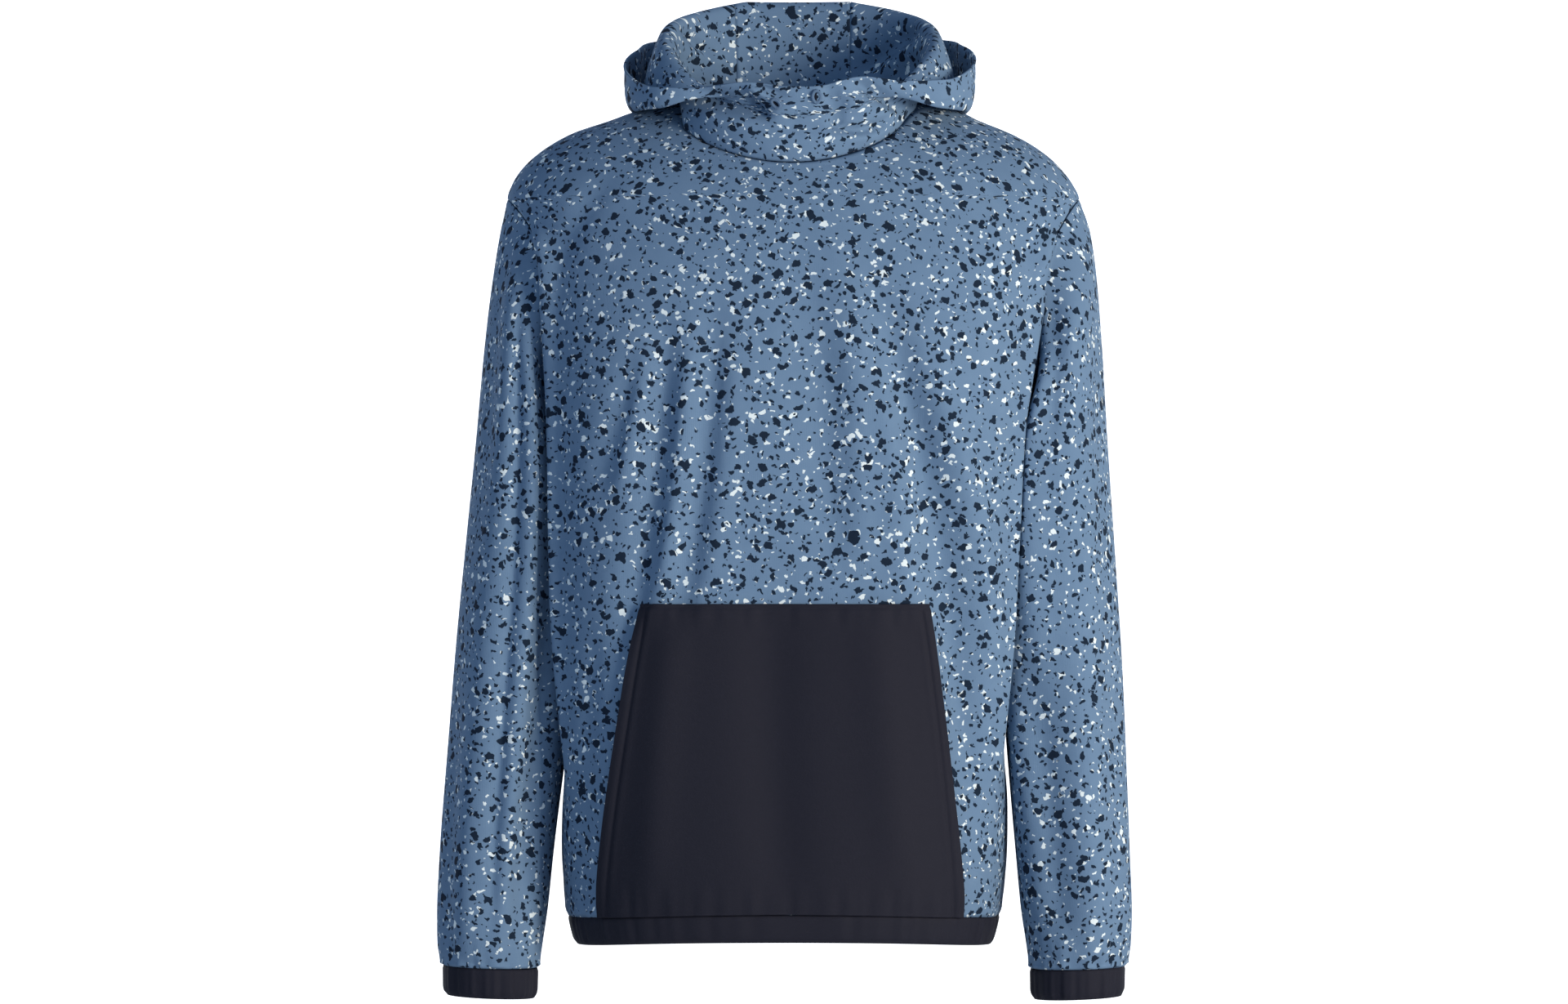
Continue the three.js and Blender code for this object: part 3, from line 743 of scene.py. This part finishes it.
def hoodFrame(x, z):
    # the point of the hood's front that shows at x, z, with its directions across, up and out
    columns, rows, step = 161, 121, 6
    angles, shares = math.pi / 2 + np.linspace(-0.4, 0.4, columns), np.linspace(0.4, 1, rows)
    angle, t = np.meshgrid(angles, shares, indexing="ij")
    points = hoodPoint(angle.ravel(), t.ravel(), 0, hoodRelief(angle.ravel(), t.ravel()))
    points = points.reshape(columns, rows, 3)
    i, j = np.unravel_index(np.argmin((points[..., 0] - x) ** 2 + (points[..., 2] - z) ** 2), angle.shape)
    i, j = np.clip(i, step, columns - 1 - step), np.clip(j, step, rows - 1 - step)
    across, up = points[i - step, j] - points[i + step, j], points[i, j + step] - points[i, j - step]
    across, out = across / np.linalg.norm(across), np.cross(across, up)
    out = out / np.linalg.norm(out)
    return points[i, j], across, np.cross(out, across), out


eyelet = {"around": 240, "tube": 12, "thread": 1.2, "ridge": 0.35, "stitches": 13, "standOff": 0.8,
          "discCorners": 40, "discStandOff": 0.6}


def slanted(px, py, slant):
    return px * math.cos(slant) - py * math.sin(slant), px * math.sin(slant) + py * math.cos(slant)


threadRings, holeShade = bmesh.new(), bmesh.new()
for x, z, wide, tall, slant in eyelets:
    centre, across, up, out = hoodFrame(x, z)
    grown = bmesh.ops.create_grid(threadRings, x_segments=eyelet["around"], y_segments=eyelet["tube"],
                                  size=0.5)
    for vert in grown["verts"]:
        a, b = 2 * math.pi * (vert.co.x + 0.5), 2 * math.pi * (vert.co.y + 0.5)
        thick = eyelet["thread"] + eyelet["ridge"] * abs(math.sin(eyelet["stitches"] * a))
        px, py = (wide + thick * math.cos(b)) * math.cos(a), (tall + thick * math.cos(b)) * math.sin(a)
        px, py = slanted(px, py, slant)
        vert.co = (centre + across * px + up * py + out * (eyelet["standOff"] + thick * math.sin(b))) * mm
    # a dark disc just in front of the cloth inside each ring is painted shade, standing for the shadow in the
    # eyelet's hole
    disc = bmesh.ops.create_circle(holeShade, cap_ends=True, segments=eyelet["discCorners"], radius=1)
    for vert in disc["verts"]:
        px, py = slanted(vert.co.x * wide, vert.co.y * tall, slant)
        vert.co = (centre + across * px + up * py + out * eyelet["discStandOff"]) * mm
bmesh.ops.remove_doubles(threadRings, verts=threadRings.verts, dist=0.01 * mm)
threadRings, holeShade = keep("eyeletThread", threadRings), keep("eyeletHoleShade", holeShade)
print("eyelets worked")


class Shade:
    # an output socket of a node tree: sums and products make Math nodes, make() any other node
    def __init__(self, tree, socket=None):
        self.tree, self.socket = tree, socket

    def make(self, kind, settings=None, inputs=None, output=0):
        node = self.tree.nodes.new("ShaderNode" + kind)
        for key, value in (settings or {}).items():
            setattr(node, key, value)
        for key, value in (inputs or {}).items():
            self.tree.links.new(value.socket, node.inputs[key]) if isinstance(value, Shade) else setattr(
                node.inputs[key], "default_value", value)
        return Shade(self.tree, node.outputs[output])

    def beside(self, output):
        return Shade(self.tree, self.socket.node.outputs[output])

    def math(self, operation, *values, clamp=False):
        return self.make("Math", {"operation": operation, "use_clamp": clamp}, dict(enumerate(values)))

    def __add__(self, other):
        return self.math("ADD", self, other)

    def __sub__(self, other):
        return self.math("SUBTRACT", self, other)

    def __rsub__(self, other):
        return self.math("SUBTRACT", other, self)

    def __mul__(self, other):
        return self.math("MULTIPLY", self, other)

    def __truediv__(self, other):
        return self.math("DIVIDE", self, other)

    def __pow__(self, other):
        return self.math("POWER", self, other)

    __radd__ = __add__
    __rmul__ = __mul__

    def mix(self, first, second):
        return self.make("Mix", {"data_type": "RGBA"}, {0: self, 6: first, 7: second}, 2)

    def vector(self, operation, *values):
        return self.make("VectorMath", {"operation": operation}, dict(enumerate(values)))


def newMaterial(name, color, roughness, specular=0.5):
    material = bpy.data.materials.new(name)
    material.use_nodes = True
    shader = material.node_tree.nodes["Principled BSDF"]
    shader.inputs["Base Color"].default_value = (*color, 1)
    shader.inputs["Roughness"].default_value = roughness
    shader.inputs["Specular IOR Level"].default_value = specular
    return material, shader, Shade(material.node_tree)


def scaled(shade, scale):
    return shade.make("VectorMath", {"operation": "SCALE"}, {0: shade, "Scale": scale})


def clothPlace(shade):
    # millimetres of flat cloth
    return scaled(shade.make("UVMap", {"uv_map": "cloth"}), 1000)


def noise(place, size, detail=2.0, output=0):
    return place.make("TexNoise", {"noise_dimensions": "2D"},
                      {"Vector": place, "Scale": 1 / size, "Detail": detail}, output)


def warp(place, size, amount):
    away = place.vector("SUBTRACT", noise(place, size, 1.0, 1), (0.5, 0.5, 0.5))
    return place.vector("ADD", place, scaled(away, amount))


def blobs(place, shift, turn, cell, stretch, radii, chance, channel, fewLarge=1.4, softEdge=0.3):
    # printed patches, at most one to a cell, small ones commoner than large ones
    spot = place.make("Mapping", {"vector_type": "TEXTURE"}, {
        "Vector": place, "Location": (*shift, 0), "Rotation": (0, 0, math.radians(turn)),
        "Scale": (cell * stretch, cell, 1)})
    distance = spot.make("TexVoronoi", {"voronoi_dimensions": "2D"}, {"Vector": spot, "Scale": 1.0})
    draw = distance.make("SeparateColor", {}, {"Color": distance.beside("Color")}, channel)
    size = (1 - draw.math("MINIMUM", draw / chance, 1)) ** fewLarge * (radii[1] - radii[0]) + radii[0]
    inside = draw.math("ADD", (size - distance * cell) / softEdge, 0.5, clamp=True)
    return inside * draw.math("LESS_THAN", draw, chance)


speckle = {
    "blue": (0.136, 0.223, 0.347, 1), "blueDeep": (0.118, 0.2, 0.322, 1),
    "dark": (0.0065, 0.0165, 0.036, 1), "light": (0.7, 0.785, 0.82, 1),
    "warps": ((6, 4.8), (1.9, 2.1)), "mottle": 14, "wale": 1.1, "course": 0.9, "bump": 0.35,
    # shift, turn, cell, stretch, radii, chance, channel
    "darkPatches": (
        ((0, 0), 25, 12.5, 1.35, (0.7, 3.5), 0.62, 0),
        ((41, 23), -50, 14.5, 1.6, (0.8, 3.0), 0.6, 0),
        ((7, 67), 80, 6.8, 1.25, (0.5, 1.6), 0.62, 0),
        ((83, 5), -20, 7.4, 1.4, (0.5, 1.7), 0.55, 0),
    ),
    "lightPatches": (
        ((2.9, 1.7), 25, 12.5, 1.4, (0.7, 2.35), 0.43, 1),
        ((37, 24), -50, 14.5, 1.6, (0.7, 2.25), 0.37, 1),
        ((53, 31), 10, 7.6, 1.25, (0.45, 1.3), 0.43, 2),
        ((19, 47), -65, 8.5, 1.3, (0.45, 1.2), 0.43, 2),
    ),
}
bumpDepth = 0.25
knit, shader, shade = newMaterial("speckledKnit", speckle["blue"][:3], 0.92, 0.2)
place = clothPlace(shade)
torn = place
for size, amount in speckle["warps"]:
    torn = warp(torn, size, amount)
masks = []
for key in ("darkPatches", "lightPatches"):
    mask = blobs(torn, *speckle[key][0])
    for row in speckle[key][1:]:
        mask = mask.math("MAXIMUM", mask, blobs(torn, *row))
    masks.append(mask)
ground = noise(place, speckle["mottle"], 3.0).mix(speckle["blue"], speckle["blueDeep"])
colour = masks[1].mix(ground, speckle["light"])
colour = masks[0].mix(colour, speckle["dark"])
shade.tree.links.new(colour.socket, shader.inputs["Base Color"])
part = place.make("SeparateXYZ", {}, {"Vector": place})
wales = part.math("SINE", part * (2 * math.pi / speckle["wale"]))
courses = part.math("SINE", part.beside("Y") * (2 * math.pi / speckle["course"]) + wales * 0.8)
relief = wales * 0.3 + courses * 0.2 + noise(place, 1.6, 3.0) * 1.2
bump = shade.make("Bump", {}, {"Height": relief, "Strength": speckle["bump"], "Distance": bumpDepth * mm})
shade.tree.links.new(bump.socket, shader.inputs["Normal"])

weave = {"color": (0.0100, 0.0108, 0.0210), "thread": 0.9, "bump": 0.3}
woven, shader, shade = newMaterial("wovenBlack", weave["color"], 0.8, 0.25)
place = clothPlace(shade)
part = place.make("SeparateXYZ", {}, {"Vector": place})
turns = 2 * math.pi / weave["thread"]
threads = part.math("SINE", part * turns) * part.math("SINE", part.beside("Y") * turns)
relief = threads * 0.5 + noise(place, 2.2, 3.0) * 1.5
bump = shade.make("Bump", {}, {"Height": relief, "Strength": weave["bump"], "Distance": bumpDepth * mm})
shade.tree.links.new(bump.socket, shader.inputs["Normal"])
for obj in (front, back, *sleeves.values(), hoodSides, hoodCentre):
    obj.data.materials.append(knit)
for obj in (*cuffs.values(), hem, pouch):
    obj.data.materials.append(woven)
threadRings.data.materials.append(newMaterial("eyeletThread", (0.1, 0.17, 0.28), 0.6, 0.3)[0])
# the eyelets' dark discs are painted shade for the holes
holeShade.data.materials.append(newMaterial("eyeletPaintedShade", (0.008, 0.011, 0.02), 0.9, 0.1)[0])

paper, shader, shade = newMaterial("paper", (0.82, 0.82, 0.82), 0.9)
behind = shade.make("SeparateXYZ", {}, {"Vector": shade.make("TexCoord", {}, {}, "Object")}, "Y")
glow = shade.make("MapRange", {"interpolation_type": "SMOOTHSTEP"}, {
    "Value": behind, "From Min": 0.5, "From Max": 1.5, "To Min": 0.04, "To Max": 1.0})
shade.tree.links.new(glow.socket, shader.inputs["Emission Color"])
shader.inputs["Emission Strength"].default_value = 1
# the paper lies flat, turns up behind the garment and stands; metres, and shares of its length
backdrop = {"width": 30, "front": -9, "run": 28, "level": -0.86, "bend": 2.5,
            "bendAt": 0.6, "bendShare": 0.15, "standsAt": 0.75, "rise": 30}
bm = bmesh.new()
bmesh.ops.create_grid(bm, x_segments=1, y_segments=40, size=0.5)
for vert in bm.verts:
    along = vert.co.y + 0.5
    turn = min(max((along - backdrop["bendAt"]) / backdrop["bendShare"], 0), 1) * math.pi / 2
    deep = backdrop["front"] + backdrop["run"] * min(along, backdrop["bendAt"])
    deep = deep + backdrop["bend"] * math.sin(turn)
    high = backdrop["level"] + backdrop["bend"] * (1 - math.cos(turn))
    high = high + backdrop["rise"] * max(along - backdrop["standsAt"], 0)
    vert.co = (vert.co.x * backdrop["width"], deep, high)
floor = keep("paperFloor", bm)
floor.data.materials.append(paper)

scene = bpy.context.scene
scene.view_settings.view_transform = "Standard"
view = {"sensor": 36, "lens": 149.5, "place": (-0.0124, -5.5, -0.3274)}  # millimetres, then a place in metres
cameraData = bpy.data.cameras.new("camera")
cameraData.sensor_width = view["sensor"]
cameraData.lens = view["lens"]
camera = bpy.data.objects.new("camera", cameraData)
camera.location = view["place"]
camera.rotation_euler = (math.pi / 2, 0, 0)
scene.collection.objects.link(camera)
scene.camera = camera


def areaLight(name, place, aim, size, power, color):
    # places and sizes in metres, power in watts
    data = bpy.data.lights.new(name, "AREA")
    data.shape = "SQUARE"
    data.size = size
    data.energy = power
    data.color = color
    light = bpy.data.objects.new(name, data)
    light.location = place
    step = np.array(aim) - np.array(place)
    tilt, heading = math.acos(-step[2] / np.linalg.norm(step)), math.atan2(step[1], step[0])
    light.rotation_euler = (tilt, 0, heading - math.pi / 2)
    scene.collection.objects.link(light)


chest = (0, 0, -0.35)
areaLight("key", (2.8, -2.75, 0.0), chest, 1.0, 140, (1.0, 0.9, 0.77))
areaLight("fill", (-1.2, -3.3, 0.4), chest, 1.6, 14, (0.55, 0.75, 1.0))
world = bpy.data.worlds.new("soft studio")
world.use_nodes = True
world.node_tree.nodes["Background"].inputs["Color"].default_value = (0.5, 0.7, 1, 1)
world.node_tree.nodes["Background"].inputs["Strength"].default_value = 0.3
scene.world = world

# node, slot, how the cloth is held, the cut's width, length and area in metres, what it is sewn to
pieces = {
    front: ("front", "speckled_knit", "hung", 0.603, 0.786, 0.380, []),
    back: ("back", "speckled_knit", "hung", 0.554, 0.783, 0.360, []),
    sleeves["left"]: ("sleeve_left", "speckled_knit", "hung", 0.431, 0.638, 0.212, [front, back]),
    sleeves["right"]: ("sleeve_right", "speckled_knit", "hung", 0.423, 0.637, 0.211, [front, back]),
    cuffs["left"]: ("cuff_left", "woven_black", "gathered", 0.257, 0.027, None, [sleeves["left"]]),
    cuffs["right"]: ("cuff_right", "woven_black", "gathered", 0.257, 0.027, None, [sleeves["right"]]),
    hem: ("hem_band", "woven_black", "gathered", 1.020, 0.024, None, [front, back]),
    pouch: ("pocket", "woven_black", "laid", 0.324, 0.266, 0.075, [front]),
    hoodSides: ("hood_sides", "speckled_knit", "draped", 0.780, 0.366, 0.139, [front, back]),
    hoodCentre: ("hood_centre", "speckled_knit", "draped", 0.111, 0.513, 0.054, [back, hoodSides]),
}
for obj, (node, slot, held, width, length, area, sewnTo) in pieces.items():
    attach(obj, "root")
    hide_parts(node)
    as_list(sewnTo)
for obj in (threadRings, holeShade):
    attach(obj, "root")
